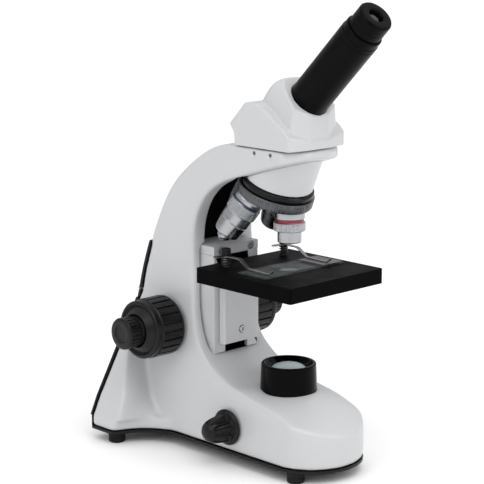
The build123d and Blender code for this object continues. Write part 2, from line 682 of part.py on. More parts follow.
def lamp_board():
    return rod(0, 0, -93.6, 15.0, 1.6) + rod(0, 0, -97.6, 9.0, 4.0)


def led():
    return block(-2.5, 2.5, -2.5, 2.5, -92.0, -91.2) + rod(0, 0, -91.2, 1.8, 1.2)


def dimmer_pot():
    body = rod(-27.2, DIMMER_Y, DIMMER_Z, 8.0, 8.0, "X") + rod(-34.2, DIMMER_Y, DIMMER_Z, 3.55, 8.0, "X")
    return body - rod(-35, DIMMER_Y, DIMMER_Z, 3.05, 11, "X")


def dimmer_knob():
    """Drawn along +Z from the casting's side: a skirt, then a domed, scalloped grip."""
    body = lathe((0, 0), (12.6, 0), (12.6, 1.4), (11.4, 2.8), (9.6, 3.2), (9.3, 6.0), (8.8, 12.0), (7.4, 17.5),
                 (5.0, 20.4), (2.4, 21.2), (0, 21.2))
    for k in range(9):
        body -= Rot(0, 0, 40 * k) * Pos(10.9, 0, 14) * Rot(0, -14, 0) * Cylinder(2.4, 22)
    skirt = lathe((0, 0), (12.6, 0), (12.6, 1.4), (11.4, 2.8), (0, 2.8))
    stem = rod(0, 0, -11.0, 3.0, 11.5)
    return Pos(-35.7, DIMMER_Y, DIMMER_Z) * Rot(0, -90, 0) * (body + skirt + stem)


def dc_inlet():
    return rod(18, 118, -112, 5.4, 16.9, "Y") - rod(18, 125.9, -112, 2.8, 12, "Y")


# ------------------------------------------------------------------ writing
HOME = Pos(0, AXIS_Y, STAGE_TOP)


def write(name, shape):
    moved = HOME * shape
    export_step(Compound(moved.solids()) if len(moved.solids()) > 1 else moved.solid(), f"parts/{name}.step")
    box = moved.bounding_box()
    print(name, len(moved.solids()), [round(v, 1) for v in (*box.min, *box.max)], round(moved.volume / 1000, 2))


def main():
    os.makedirs("parts", exist_ok=True)
    outer = casting_outer()
    band = rear_band(outer)
    parts = {
        "stand_casting": stand_casting(outer, band),
        "base_plate": base_plate(),
        "back_cover": back_cover(band),
        "feet": feet(),
        "base_screws": base_screws(),
        "cover_screws": cover_screws(),
        "arm_liner": arm_liner(),
        "guide_block": guide_block(),
        "guide_cap": guide_cap(),
        "guide_screws": guide_screws(),
        "slide_rails": slide_rails(),
        "knob_bushes": knob_bushes(),
        "nosepiece_mount": nosepiece_mount(outer),
        "turret_pivot": turret_pivot(),
        "arm_screws": arm_screws(),
        "lamp_housing": lamp_housing(outer),
        "lamp_lens": lamp_lens(),
        "lamp_board": lamp_board(),
        "led": led(),
        "dimmer_pot": dimmer_pot(),
        "dc_inlet": dc_inlet(),
        "carriage": carriage(),
        "rack": rack(),
        "stage_plate": stage_plate(),
        "stage_bracket": stage_bracket(),
        "bracket_screw": bracket_screw(),
        "condenser_ring": condenser_ring(),
        "condenser_lens": condenser_lens(),
        "clip_posts": clip_posts(),
        "clip_springs": clip_springs(),
        "clip_left": Pos(-POST_X, POST_Y, 0) * clip_strip(),
        "clip_right": Pos(POST_X, POST_Y, 0) * clip_strip(),
        "clip_knob": Pos(-POST_X, POST_Y, 0) * clip_knob(),
        "clip_screw": Pos(POST_X, POST_Y, 0) * clip_screw(),
        "glass_slide": glass_slide(),
        "cover_slip": cover_slip(),
        "diaphragm_disc": diaphragm_disc(),
        "diaphragm_pin": diaphragm_pin(),
        "coarse_knob_left": knob_place(-1) * coarse_knob(),
        "coarse_knob_right": knob_place(1) * coarse_knob(),
        "coarse_shaft": coarse_shaft(),
        "pinion": pinion(),
        "fine_knob_left": knob_place(-1) * fine_knob(),
        "fine_knob_right": knob_place(1) * fine_knob(),
        "fine_shaft": fine_shaft(),
        "turret_race": turret_race(),
        "turret_body": turret_body(),
        "objective_4x": objective_place(0) * objective_4x(),
        "objective_10x": objective_place(240) * objective_10x(),
        "objective_40x": objective_place(120) * objective_40x(),
        "objective_lenses": objective_lenses(),
        "objective_tip": objective_place(120) * objective_tip(),
        "tip_lens": objective_place(120) * tip_lens(),
        "head_housing": head_housing(),
        "head_dovetail": head_dovetail(),
        "prism": prism(),
        "viewing_tube": viewing_tube(),
        "eyepiece_barrel": eyepiece_barrel(),
        "eyepiece_lenses": eyepiece_lenses(),
        "dimmer_knob": dimmer_knob(),
    }
    for name, shape in parts.items():
        write(name, shape)


main()
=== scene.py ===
# %% [markdown]
# # A student microscope
# The microscope is a cast metal stand in grey-white enamel that carries black turned tubes, moulded
# knobs, satin chrome objectives and a black square stage.
# The CAD frame gives every place and every size, so the work here is shape detail and finish.
# The frame is loaded first.

# %% Load the frame
import json
import math
import bpy
from mathutils import Matrix, Vector

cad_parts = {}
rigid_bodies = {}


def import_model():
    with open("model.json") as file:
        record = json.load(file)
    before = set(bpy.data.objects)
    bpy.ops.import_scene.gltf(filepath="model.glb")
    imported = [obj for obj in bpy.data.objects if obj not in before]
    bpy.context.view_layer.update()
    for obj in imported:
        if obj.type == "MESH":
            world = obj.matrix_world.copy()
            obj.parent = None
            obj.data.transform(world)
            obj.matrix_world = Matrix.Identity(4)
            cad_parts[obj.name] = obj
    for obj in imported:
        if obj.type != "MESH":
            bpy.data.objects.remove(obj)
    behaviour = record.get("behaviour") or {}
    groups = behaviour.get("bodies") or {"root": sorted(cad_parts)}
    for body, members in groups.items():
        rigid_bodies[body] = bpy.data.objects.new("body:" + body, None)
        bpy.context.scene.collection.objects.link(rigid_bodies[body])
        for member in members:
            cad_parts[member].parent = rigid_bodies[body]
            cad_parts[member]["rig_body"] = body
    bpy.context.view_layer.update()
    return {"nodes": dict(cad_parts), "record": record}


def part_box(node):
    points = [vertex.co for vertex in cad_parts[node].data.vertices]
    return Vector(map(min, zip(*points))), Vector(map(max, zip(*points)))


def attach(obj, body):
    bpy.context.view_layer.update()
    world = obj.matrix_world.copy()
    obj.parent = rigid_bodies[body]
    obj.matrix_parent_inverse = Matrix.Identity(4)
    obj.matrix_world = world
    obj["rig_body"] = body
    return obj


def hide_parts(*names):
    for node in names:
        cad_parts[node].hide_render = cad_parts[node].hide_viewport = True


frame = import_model()
NODES = frame["nodes"]
MM = 0.001

# %% [markdown]
# Most places are given from one point: the middle of the stage's top face, on the optical axis.
# The bench is 137.5 mm below it. Two slanted axes start from that vertical one: the viewing tube,
# which leans 45 degrees towards the user, and the nosepiece, which leans 20.5 degrees away.

# %% Reference axes
HOME = Vector((0.0, -26.35, 137.5))
LEAN = math.radians(20.5)
APEX = HOME + Vector((0.0, 0.0, 85.4))
TUBE_FOOT = HOME + Vector((0.0, 0.0, 99.4))


def axis_frame(origin_mm, direction, side=(1.0, 0.0, 0.0)):
    """A matrix that puts +Z along direction, with its origin at a point in millimetres."""
    z = Vector(direction).normalized()
    x = (Vector(side) - z * Vector(side).dot(z)).normalized()
    turn = Matrix((x, z.cross(x), z)).transposed().to_4x4()
    return Matrix.Translation(Vector(origin_mm) * MM) @ turn


def objective_direction(turn_degrees):
    """Objectives stand on a cone round the leaning axis; at 0 degrees one points straight down."""
    s, c = math.sin(LEAN), math.cos(LEAN)
    ct, st = math.cos(math.radians(turn_degrees)), math.sin(math.radians(turn_degrees))
    return (-s * st, s * c * (1.0 - ct), -c * c - s * s * ct)


TURRET = axis_frame(APEX, (0.0, math.sin(LEAN), -math.cos(LEAN)))
TUBE = axis_frame(TUBE_FOOT, (0.0, -1.0, 1.0))
LAMP = axis_frame(HOME, (0.0, 0.0, 1.0))
print("tube leaves at", [round(v, 4) for v in TUBE.translation])

# %% [markdown]
# A finish is a stack of nodes, so one small function adds a node with its settings and its links.
# Colours are written as the hex codes that a paint chart gives, and one function makes them linear.

# %% Node and colour helpers
def linear(code):
    """An sRGB hex code as a linear colour."""
    values = [int(code[k:k + 2], 16) / 255.0 for k in (1, 3, 5)]
    return [v / 12.92 if v <= 0.04045 else ((v + 0.055) / 1.055) ** 2.4 for v in values] + [1.0]


def add(tree, kind, inputs=None, **settings):
    """Adds one node; an input that is a socket is linked, and anything else is set."""
    made = tree.nodes.new(kind)
    for key, value in settings.items():
        setattr(made, key, value)
    for key, value in (inputs or {}).items():
        if isinstance(value, bpy.types.NodeSocket):
            tree.links.new(value, made.inputs[key])
        else:
            made.inputs[key].default_value = value
    return made


def finish(name, colour, rough, grain_mm, bump_mm, vary=0.06, rough_vary=0.06, axis=None, stretch=(1, 1, 1),
           **shader):
    """A surface with a grain of a real size: it drives the shade, the roughness and a small relief.

    axis turns the grain to a piece's own axis, and stretch draws it out into rings or streaks."""
    made = bpy.data.materials.new(name)
    made.use_nodes = True
    tree = made.node_tree
    tree.nodes.clear()
    out = add(tree, "ShaderNodeOutputMaterial")
    place = add(tree, "ShaderNodeTexCoord").outputs["Object"]
    if axis is not None:
        turn = axis.to_3x3().inverted().to_euler()
        place = add(tree, "ShaderNodeMapping", {"Vector": place, "Rotation": tuple(turn)}).outputs["Vector"]
    place = add(tree, "ShaderNodeMapping", {"Vector": place, "Scale": stretch}).outputs["Vector"]
    grain = add(tree, "ShaderNodeTexNoise", {"Vector": place, "Scale": 1.0 / (grain_mm * MM), "Detail": 4.0})
    broad = add(tree, "ShaderNodeTexNoise", {"Vector": place, "Scale": 1.0 / (24 * grain_mm * MM), "Detail": 2.0})
    both = add(tree, "ShaderNodeMath", {0: grain.outputs["Fac"], 1: broad.outputs["Fac"]}, operation="ADD")
    ramp = add(tree, "ShaderNodeValToRGB", {"Fac": add(
        tree, "ShaderNodeMath", {0: both.outputs[0], 1: 0.5}, operation="MULTIPLY").outputs[0]})
    shade = linear(colour)
    for element, position, factor in zip(ramp.color_ramp.elements, (0.36, 0.64), (1.0 - vary, 1.0 + vary)):
        element.position = position
        element.color = [min(1.0, v * factor) for v in shade[:3]] + [1.0]
    gloss = add(tree, "ShaderNodeMapRange", {"Value": broad.outputs["Fac"], "From Min": 0.3, "From Max": 0.7,
                                             "To Min": rough - rough_vary, "To Max": rough + rough_vary})
    relief = add(tree, "ShaderNodeBump", {"Height": grain.outputs["Fac"], "Strength": 1.0,
                                          "Distance": bump_mm * MM})
    shader_node = add(tree, "ShaderNodeBsdfPrincipled", {
        "Base Color": ramp.outputs["Color"], "Roughness": gloss.outputs["Result"],
        "Normal": relief.outputs["Normal"]})
    for key, value in shader.items():
        shader_node.inputs[key.replace("_", " ")].default_value = value
    tree.links.new(shader_node.outputs["BSDF"], out.inputs["Surface"])
    return made


print("helpers ready")

# %% [markdown]
# The stand is die-cast aluminium sprayed with a grey-white enamel. Sprayed enamel levels out to a
# soft gloss, with an orange peel about a millimetre across and a few microns deep. The head has the
# same paint one shade whiter, because it is sprayed on its own.

# %% Enamels
ENAMEL = finish("sprayed_enamel_grey_white", "#C3C4C6", 0.36, 1.1, 0.006, 0.012, 0.04, Coat_Weight=0.2,
                Coat_Roughness=0.2)
ENAMEL_HEAD = finish("sprayed_enamel_white", "#C4C5C7", 0.34, 1.1, 0.006, 0.010, 0.04, Coat_Weight=0.2,
                     Coat_Roughness=0.2)
print(ENAMEL.name, ENAMEL_HEAD.name)

# %% [markdown]
# The knobs and covers are ABS, moulded in a spark-eroded tool, so they have a fine even grain that
# breaks up highlights. The feet are rubber, which is duller still. The stage is a thick metal plate in
# black enamel, with a finer surface than the plastic.

# %% Plastics, rubber and black enamel
KNOB_ABS = finish("moulded_abs_black", "#0C0C0C", 0.34, 0.30, 0.010, 0.25, 0.07, Specular_IOR_Level=0.25)
COVER_ABS = finish("moulded_abs_cover", "#090909", 0.34, 0.35, 0.008, 0.20, 0.06, Specular_IOR_Level=0.25)
LAMP_ABS = finish("polished_abs_black", "#020202", 0.12, 0.8, 0.003, 0.15, 0.05, Specular_IOR_Level=0.06)
# The matt black is also painted shade: the faces inside the guide channel and the arm's two screws take it so that
# the slot and the screw holes read dark.
MATT_BLACK = finish("matt_black_and_painted_shade", "#040404", 0.80, 0.5, 0.010, 0.20, 0.08, Specular_IOR_Level=0.08)
RUBBER = finish("moulded_rubber", "#0D0D0D", 0.65, 0.6, 0.012, 0.15, 0.08, Specular_IOR_Level=0.25)
STAGE_ENAMEL = finish("stage_enamel_black", "#040405", 0.50, 0.7, 0.006, 0.22, 0.06, Specular_IOR_Level=0.03)
BOARD = finish("circuit_board_green", "#14532D", 0.45, 1.5, 0.010, 0.20, 0.05)
LED_RESIN = finish("led_yellow_resin", "#E7D27A", 0.35, 0.5, 0.005, 0.05, 0.05)
print("plastics", KNOB_ABS.name, COVER_ABS.name, LAMP_ABS.name)

# %% [markdown]
# Turned metal shows rings, because the tool's point cuts a fine thread round the piece. The same
# grain does it when it is drawn out across the axis: each piece of metal has its own axis, so there
# is one finish for each. Black anodised aluminium keeps the rings under a thin dark oxide layer.

# %% Metals
RINGS = (0.02, 0.02, 1.0)
BLACK_ANODISED = finish("anodised_aluminium_black", "#040405", 0.32, 0.45, 0.004, 0.25, 0.05, TUBE, RINGS,
                        Specular_IOR_Level=0.07)
RACE_STEEL = finish("blackened_steel", "#050506", 0.24, 0.40, 0.004, 0.25, 0.06, TURRET, RINGS,
                    Specular_IOR_Level=0.22)
GRIP_STEEL = finish("dark_chrome_nosepiece", "#5C5E61", 0.26, 0.40, 0.004, 0.12, 0.06, TURRET, RINGS,
                    Metallic=1.0)
CHROMES = {}
for power, turn_degrees in (("4x", 0), ("40x", 120), ("10x", 240)):
    CHROMES[power] = finish("satin_chrome_" + power, "#A9ABAE", 0.25, 0.35, 0.002, 0.05, 0.04,
                            axis_frame(APEX, objective_direction(turn_degrees)), RINGS, Metallic=1.0)
STEEL = finish("stainless_steel_sheet", "#85878A", 0.30, 0.30, 0.003, 0.10, 0.07, None, (1.0, 0.06, 1.0),
               Metallic=1.0)
ZINC = finish("zinc_plated_screw", "#A6A8AB", 0.30, 0.40, 0.006, 0.10, 0.08, Metallic=1.0)
BRASS = finish("machined_brass", "#B08D4A", 0.28, 0.40, 0.004, 0.10, 0.06, Metallic=1.0)
SPRING_STEEL = finish("blued_spring_steel", "#2A2A2D", 0.32, 0.30, 0.003, 0.15, 0.06, Metallic=0.8)
print("metals", len(CHROMES) + 7)

# %% [markdown]
# Slides, lenses and the cover slip are glass. The lamp's dome is glass ground on its inner face, so
# it scatters and reads as a pale blue-grey. The objectives carry a painted ring whose colour tells
# their power: red, yellow and blue for four, ten and forty times.

# %% Glass and ring paints
CLEAR_GLASS = finish("clear_glass", "#6E7676", 0.08, 2.0, 0.001, 0.02, 0.03, Alpha=0.16, IOR=1.5,
                     Specular_IOR_Level=0.12)
# The eye lenses are coated glass, and their near-black colour is painted shade: the dark inside of the tube seen
# through them.
EYE_GLASS_PAINTED_SHADE = finish("eye_lens_painted_shade", "#07080C", 0.07, 2.0, 0.001, 0.10, 0.02, IOR=1.6)
LABEL_GLASS = finish("ground_slide_end", "#6E686C", 0.55, 0.4, 0.004, 0.10, 0.06, Specular_IOR_Level=0.2)
COATED_GLASS = finish("coated_lens_glass", "#DCE6F2", 0.06, 2.0, 0.001, 0.02, 0.02, Transmission_Weight=0.9,
                      IOR=1.6)
GROUND_GLASS = finish("ground_lamp_glass", "#C4D2D6", 0.32, 0.5, 0.004, 0.05, 0.08, Transmission_Weight=0.25,
                      IOR=1.5)
RING_PAINTS = {
    "4x": finish("ring_paint_red", "#8E0C26", 0.35, 0.4, 0.003, 0.08, 0.05),
    "10x": finish("ring_paint_yellow", "#C99A12", 0.35, 0.4, 0.003, 0.08, 0.05),
    "40x": finish("ring_paint_blue", "#1B3358", 0.35, 0.4, 0.003, 0.08, 0.05)}
print("glass and paint ready")

# %% [markdown]
# Every frame part gets a finish, even where a detailed piece will stand for it later, because the
# inner parts show through gaps when the drives move.

# %% Dress the frame's own parts
SLOT_FINISH = {
    "enamel": ENAMEL, "enamel_head": ENAMEL_HEAD, "black_plastic": COVER_ABS, "black_matte": MATT_BLACK,
    "knob_plastic": KNOB_ABS, "stage_black": STAGE_ENAMEL, "anodised": BLACK_ANODISED, "rubber": RUBBER,
    "steel": STEEL, "zinc_screw": ZINC, "chrome": CHROMES["4x"], "brass": BRASS, "glass": COATED_GLASS,
    "lamp_glass": GROUND_GLASS, "circuit": BOARD, "led": LED_RESIN}
SLOT_OF = {row["node"]: row["material_slot"] for row in frame["record"]["subparts"]}


def dress(thing, material):
    """Gives every material slot of an object one material."""
    if not thing.material_slots:
        thing.data.materials.append(material)
    for slot in thing.material_slots:
        slot.material = material


for node_name, thing in NODES.items():
    dress(thing, SLOT_FINISH[SLOT_OF[node_name]])
print("dressed", len(NODES))

# %% [markdown]
# A piece is handed to the frame in one place: it rides on a body, it takes a finish, and it
# hides the plain part that it stands for.

# %% Hand a piece to the frame
MERGE_MM = 0.002


def hand_over(piece, node_name, material):
    """Rides a piece on the body of the node that it replaces."""
    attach(piece, NODES[node_name]["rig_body"])
    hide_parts(node_name)
    dress(piece, material)
    print(piece.name, len(piece.data.polygons), "faces")
    return piece


def only(piece):
    """Makes one object the active one and the only one selected."""
    if bpy.context.mode != "OBJECT":
        bpy.ops.object.mode_set(mode="OBJECT")
    bpy.ops.object.select_all(action="DESELECT")
    piece.select_set(True)
    bpy.context.view_layer.objects.active = piece
    return piece


def apply_modifier(piece, kind, **settings):
    """Adds one modifier, sets it and applies it."""
    only(piece)
    made = piece.modifiers.new(kind.lower(), kind)
    for key, value in settings.items():
        setattr(made, key, value)
    bpy.ops.object.modifier_apply(modifier=made.name)


def merged_copy(node_name, piece_name):
    """A frame part's shape as an object of its own, with its loose triangles joined.

    The stored corner normals go too: a remesh would carry them over to faces that they don't fit."""
    piece = bpy.data.objects.new(piece_name, NODES[node_name].data.copy())
    bpy.context.scene.collection.objects.link(piece)
    only(piece)
    bpy.ops.mesh.customdata_custom_splitnormals_clear()
    bpy.ops.object.mode_set(mode="EDIT")
    bpy.ops.mesh.select_all(action="SELECT")
    bpy.ops.mesh.remove_doubles(threshold=MERGE_MM * MM)
    bpy.ops.object.mode_set(mode="OBJECT")
    return piece


print("hand-over ready")

# %% [markdown]
# A casting has no sharp edge anywhere: the mould rounds them all by one to three
# millimetres, and paint rounds them more. Beveling hundreds of curved edges one by one would leave
# creases where they meet. A voxel remesh instead turns the whole shape into an even skin, and
# smoothing that skin relaxes the edges into fillets while the flat faces stay flat.

# %% Castings with soft edges
RELAX_STEPS = 30


def recast(node_name, piece_name, voxel_mm, steps, keep, material, relax=None):
    """Remeshes a part's skin, relaxes its edges and thins the triangles that flats don't need.

    relax says which points, in millimetres from the stage's centre, get a larger fillet."""
    piece = merged_copy(node_name, piece_name)
    piece.data.remesh_voxel_size = voxel_mm * MM
    bpy.ops.object.voxel_remesh()
    if relax is not None:
        for vertex in piece.data.vertices:
            vertex.select = relax(vertex.co / MM - HOME)
        bpy.ops.object.mode_set(mode="EDIT")
        bpy.ops.mesh.select_mode(type="VERT")
        bpy.ops.mesh.vertices_smooth(factor=0.5, repeat=RELAX_STEPS)
        bpy.ops.object.mode_set(mode="OBJECT")
    apply_modifier(piece, "SMOOTH", factor=0.5, iterations=steps)
    apply_modifier(piece, "DECIMATE", ratio=keep)
    bpy.ops.object.shade_smooth()
    return hand_over(piece, node_name, material)


def toe_brow(p):
    """The rounded front of the toe, where the deck falls over into the front face."""
    clear_of_lamp = math.hypot(p.x, p.y + 24.0) > 21.0
    return p.y < -30.0 and -121.0 < p.z < -84.0 and clear_of_lamp


recast("stand_casting", "stand_shell", voxel_mm=1.0, steps=8, keep=0.5, material=ENAMEL, relax=toe_brow)
recast("head_housing", "head_shell", voxel_mm=0.7, steps=10, keep=0.6, material=ENAMEL_HEAD)
recast("nosepiece_mount", "nosepiece_bowl", voxel_mm=0.6, steps=4, keep=0.6, material=ENAMEL_HEAD)

# %% [markdown]
# Milled and folded parts have small even chamfers. Their shapes are simple, so a bevel on the edges
# that turn sharply is enough. Coplanar triangles are dissolved first, so that the bevel runs along
# whole edges instead of along fragments.

# %% Blocks and plates with small chamfers
SHARP_FROM = math.radians(32.0)
SMOOTH_UP_TO = math.radians(34.0)
FLAT_UP_TO = math.radians(0.5)


def chamfer(piece, width_mm, segments=2):
    """Rounds the sharp edges of a piece and shades it smooth between them."""
    apply_modifier(piece, "BEVEL", width=width_mm * MM, segments=segments, limit_method="ANGLE",
                   angle_limit=SHARP_FROM, use_clamp_overlap=True, harden_normals=False)
    only(piece)
    bpy.ops.object.shade_smooth_by_angle(angle=SMOOTH_UP_TO)
    apply_modifier(piece, "WEIGHTED_NORMAL", weight=80, keep_sharp=True)
    return piece


def chamfered(node_name, piece_name, width_mm, material, segments=2):
    """A frame part with its flats joined and its edges chamfered."""
    piece = merged_copy(node_name, piece_name)
    bpy.ops.object.mode_set(mode="EDIT")
    bpy.ops.mesh.select_all(action="SELECT")
    bpy.ops.mesh.dissolve_limited(angle_limit=FLAT_UP_TO)
    bpy.ops.object.mode_set(mode="OBJECT")
    chamfer(piece, width_mm, segments)
    return hand_over(piece, node_name, material)


chamfered("stage_plate", "stage_table", 0.8, STAGE_ENAMEL, 3)
chamfered("stage_bracket", "stage_knee", 0.6, ENAMEL)
chamfered("guide_block", "guide_body", 0.6, ENAMEL)
chamfered("guide_cap", "guide_lid", 0.6, ENAMEL)
chamfered("carriage", "sliding_carriage", 0.4, BRASS)
chamfered("base_plate", "floor_plate", 0.3, COVER_ABS)
chamfered("back_cover", "rear_cover", 0.3, COVER_ABS)
chamfered("diaphragm_disc", "aperture_wheel", 0.15, BLACK_ANODISED)

# %% [markdown]
# Knobs, tubes and objectives are turned: a tool follows one outline while the piece spins. In
# Blender that is a disc whose top face is extruded and scaled again and again, so each pair of
# numbers, radius and height, is one cut. Face loops stay even all round, which makes flutes and
# knurling simple afterwards.

# %% Turned pieces
def turned(name, outline, sides=96):
    """Extrudes and scales a disc along +Z through (radius, height) pairs in millimetres."""
    if bpy.context.mode != "OBJECT":
        bpy.ops.object.mode_set(mode="OBJECT")
    bpy.ops.object.select_all(action="DESELECT")
    radius, height = outline[0]
    bpy.ops.mesh.primitive_circle_add(vertices=sides, radius=radius * MM, fill_type="NGON",
                                      location=(0.0, 0.0, height * MM))
    piece = bpy.context.object
    piece.name = name
    bpy.ops.object.transform_apply(location=True, rotation=False, scale=False)
    bpy.ops.object.mode_set(mode="EDIT")
    bpy.ops.mesh.select_mode(type="FACE")
    bpy.ops.mesh.select_all(action="SELECT")
    for next_radius, next_height in outline[1:]:
        bpy.ops.mesh.extrude_region_move(
            TRANSFORM_OT_translate={"value": (0.0, 0.0, (next_height - height) * MM)})
        ratio = next_radius / radius
        bpy.ops.transform.resize(value=(ratio, ratio, 1.0), center_override=(0.0, 0.0, next_height * MM))
        radius, height = next_radius, next_height
    bpy.ops.mesh.select_all(action="SELECT")
    bpy.ops.mesh.normals_make_consistent(inside=False)
    bpy.ops.object.mode_set(mode="OBJECT")
    return piece


def pick_faces(piece, wanted):
    """Goes to edit mode with the faces selected that wanted(face, angle in turns) accepts."""
    only(piece)
    for vertex in piece.data.vertices:
        vertex.select = False
    for edge in piece.data.edges:
        edge.select = False
    for face in piece.data.polygons:
        turn = (math.atan2(face.center.y, face.center.x) / math.tau) % 1.0
        face.select = bool(wanted(face, turn))
    bpy.ops.object.mode_set(mode="EDIT")
    bpy.ops.mesh.select_mode(type="FACE")


def ribs(piece, z0, z1, count, wide, of, depth_mm, inset_mm=0.1):
    """Sinks grooves into the band between two heights: `wide` of every `of` faces, count times."""
    def in_groove(face, turn):
        across = abs(face.normal.z) < 0.5 and math.hypot(face.center.x, face.center.y) > 1.0 * MM
        step = int(turn * count * of)
        return across and z0 * MM < face.center.z < z1 * MM and step % of < wide
    pick_faces(piece, in_groove)
    bpy.ops.mesh.inset(thickness=inset_mm * MM, depth=-depth_mm * MM, use_even_offset=True)
    bpy.ops.object.mode_set(mode="OBJECT")


def placed(piece, matrix):
    """Moves the mesh, not the object, to the piece's place."""
    piece.data.transform(matrix)
    if matrix.determinant() < 0:
        piece.data.flip_normals()
    return piece


def paint_band(piece, matrix, z0, z1, material):
    """Gives the faces between two heights along a piece's axis a second finish."""
    piece.data.materials.append(material)
    last = len(piece.data.materials) - 1
    back = matrix.inverted()
    for face in piece.data.polygons:
        if z0 * MM < (back @ face.center).z < z1 * MM:
            face.material_index = last


print("lathe ready")

# %% [markdown]
# The coarse knob is a broad drum with deep, widely spaced flutes, so that a hand can turn it without
# looking. The fine knob sits in its outer face and has narrow grooves. Both are mirrored on the
# other side of the arm: the same piece is made twice, and only its axis differs.

# %% Focus knobs
KNOB_CENTRE = HOME + Vector((0.0, 90.0, -50.0))
KNOB_FACE = 32.9
COARSE = [(18.0, 0.0), (20.2, 0.3), (21.1, 1.4), (21.2, 3.0), (21.2, 19.8), (20.5, 20.4), (20.2, 21.3), (20.7, 21.9),
          (20.6, 24.6), (20.0, 25.4), (19.0, 25.8), (18.2, 25.7), (17.7, 25.0), (17.0, 24.4), (12.4, 28.8),
          (11.9, 28.9), (11.6, 28.2), (11.5, 24.4)]
FINE = [(10.9, 24.2), (10.9, 28.0), (10.4, 30.2), (10.3, 31.3), (11.1, 32.0), (11.3, 33.0), (11.3, 40.4),
        (10.9, 41.3), (9.8, 41.8), (6.9, 41.9), (6.4, 41.7), (6.0, 41.0), (3.2, 40.6)]
for side, label in ((-1, "left"), (1, "right")):
    axle = axis_frame(KNOB_CENTRE + Vector((side * KNOB_FACE, 0.0, 0.0)), (side, 0.0, 0.0), (0.0, 1.0, 0.0))
    drum = turned("coarse_drum_" + label, COARSE, 176)
    ribs(drum, 3.0, 19.8, count=22, wide=2, of=8, depth_mm=1.3, inset_mm=0.12)
    chamfer(drum, 0.35)
    hand_over(placed(drum, axle), "coarse_knob_" + label, KNOB_ABS)
    button = turned("fine_drum_" + label, FINE, 144)
    ribs(button, 33.0, 40.4, count=24, wide=2, of=6, depth_mm=0.7, inset_mm=0.08)
    chamfer(button, 0.25)
    hand_over(placed(button, axle), "fine_knob_" + label, KNOB_ABS)

# %% [markdown]
# The lamp's dimmer is a small domed knob: nine long scallops run from the skirt to the crown. A
# scallop is a wide shallow flute whose depth follows the dome, so the faces of the dome are sunk
# along their own normals.

# %% Dimmer knob
DIMMER = [(11.6, 0.3), (12.5, 0.5), (12.6, 1.4), (12.0, 2.3), (11.2, 2.9), (9.9, 3.2), (9.7, 4.4), (9.5, 7.0),
          (9.1, 10.5), (8.6, 13.6), (7.9, 16.2), (6.8, 18.4), (5.2, 20.0), (3.2, 20.9), (1.2, 21.2)]
dimmer_axle = axis_frame(HOME + Vector((-35.7, 23.4, -110.4)), (-1.0, 0.0, 0.0), (0.0, 1.0, 0.0))
dome = turned("dimmer_dome", DIMMER, 144)
ribs(dome, 4.4, 18.4, count=9, wide=9, of=16, depth_mm=1.5, inset_mm=0.9)
chamfer(dome, 0.35)
hand_over(placed(dome, dimmer_axle), "dimmer_knob", KNOB_ABS)

# %% [markdown]
# The viewing tube is turned aluminium, black anodised. Near its top are a narrow groove and a lip,
# and the eyepiece's plain barrel drops into its bore. Above the tube the eyepiece is a drum with a
# chamfered rim and a stepped well round the eye lens.

# %% Viewing tube and eyepiece
TUBE_OUTLINE = [(13.55, 17.2), (13.6, 18.0), (13.6, 84.1), (13.25, 84.4), (13.25, 85.1), (13.6, 85.4), (13.6, 87.4),
                (13.15, 87.8), (13.15, 92.3), (12.7, 92.9), (11.9, 93.0), (11.66, 92.6), (11.66, 58.0), (9.0, 57.5)]
EYEPIECE = [(10.2, 66.2), (10.4, 64.3), (10.7, 64.0), (11.3, 64.0), (11.6, 64.4), (11.6, 93.2), (11.9, 93.5),
            (11.9, 98.4), (11.7, 98.6), (11.7, 99.2), (11.9, 99.4), (11.9, 105.2), (11.2, 106.3), (10.4, 106.6),
            (6.2, 106.6), (5.4, 106.2), (4.9, 105.2), (4.7, 104.2), (4.6, 103.5)]
EYE_LENS = [(4.5, 103.2), (4.5, 103.7), (3.6, 104.1), (2.2, 104.4), (0.8, 104.5)]
FIELD_LENS = [(9.9, 66.0), (9.9, 65.8), (8.0, 65.5), (5.0, 65.2), (2.0, 65.1)]
barrel = placed(chamfer(turned("view_tube", TUBE_OUTLINE, 128), 0.15), TUBE)
hand_over(barrel, "viewing_tube", BLACK_ANODISED)
eyepiece = placed(chamfer(turned("eyepiece_drum", EYEPIECE, 128), 0.2), TUBE)
hand_over(eyepiece, "eyepiece_barrel", BLACK_ANODISED)
# the lenses take near-black glass whose colour is painted shade from the dark tube behind them
for name, outline in (("eye_lens", EYE_LENS), ("field_lens", FIELD_LENS)):
    lens = placed(turned(name, outline, 64), TUBE)
    only(lens)
    bpy.ops.object.shade_smooth()
    hand_over(lens, "eyepiece_lenses", EYE_GLASS_PAINTED_SHADE)

# %% [markdown]
# The nosepiece turns on a black race. Its grip is a steel ring with fine ribs, and its underside is
# a shallow cone that the objectives screw into.

# %% Nosepiece
race = turned("race_ring", [(23.9, 28.7), (24.4, 29.0), (25.1, 29.9), (25.2, 31.2), (25.2, 32.4), (24.8, 33.2),
                            (24.0, 33.6)], 128)
hand_over(placed(chamfer(race, 0.15), TURRET), "turret_race", RACE_STEEL)
GRIP = [(22.2, 33.4), (25.6, 33.5), (26.3, 33.8), (26.5, 34.4), (26.5, 39.6), (26.1, 40.3), (25.4, 40.7),
        (23.0, 41.6), (15.0, 44.9), (8.0, 47.5), (7.0, 48.0), (5.4, 48.1)]
grip = turned("nosepiece_grip", GRIP, 330)
ribs(grip, 34.4, 39.6, count=110, wide=1, of=3, depth_mm=0.28, inset_mm=0.05)
chamfer(grip, 0.12, 1)
hand_over(placed(grip, TURRET), "turret_body", GRIP_STEEL)

# %% [markdown]
# Each objective is a chrome-plated brass barrel. A knurled band is for the fingers, a painted ring
# in a groove tells the power, and the nose steps down towards the front lens.

